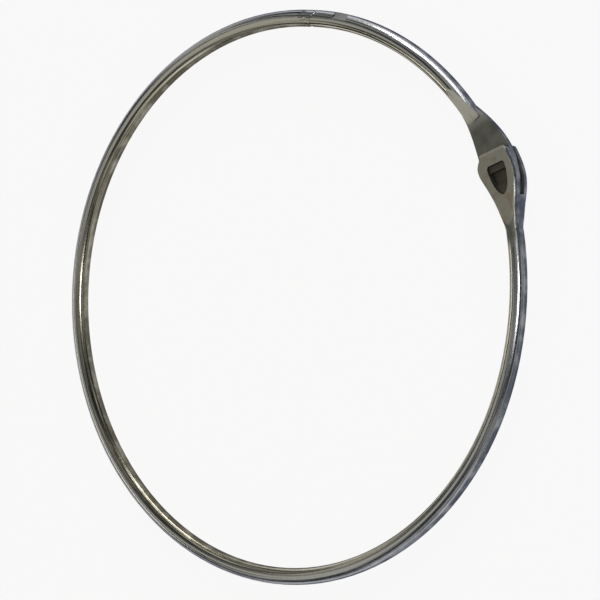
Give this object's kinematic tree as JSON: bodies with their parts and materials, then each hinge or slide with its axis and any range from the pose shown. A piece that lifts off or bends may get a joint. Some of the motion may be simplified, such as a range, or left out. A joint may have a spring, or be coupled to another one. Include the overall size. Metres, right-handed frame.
{
  "type": "jailer key ring",
  "caption": "Large round wire ring with a hinged gate that snaps shut at the top, for carrying keys or holding loose cards.",
  "frame": {"origin": "centre of the ring, at the height of the fork's underside, which is the lowest face", "axes": "+Z along the ring's normal, +Y from the ring's centre to the snap, +X towards the hinge's side"},
  "size_m": [0.1352, 0.135, 0.0049],
  "materials": {
    "body_plating": "bright nickel plate on round steel wire, with drawing lines along the wire",
    "gate_plating": "bright nickel plate on round steel wire, dull on the milled tongue"
  },
  "bodies": {
    "ring": {"ring_body": "body_plating"},
    "gate": {"gate": "gate_plating"}
  },
  "joints": [
    {"name": "gate_swing", "type": "hinge", "parent": "ring", "child": "gate", "pos_m": [0.05929, 0.03099, 0.00245], "axis": [0, 0, -1], "range_deg": [0, 95]}
  ]
}
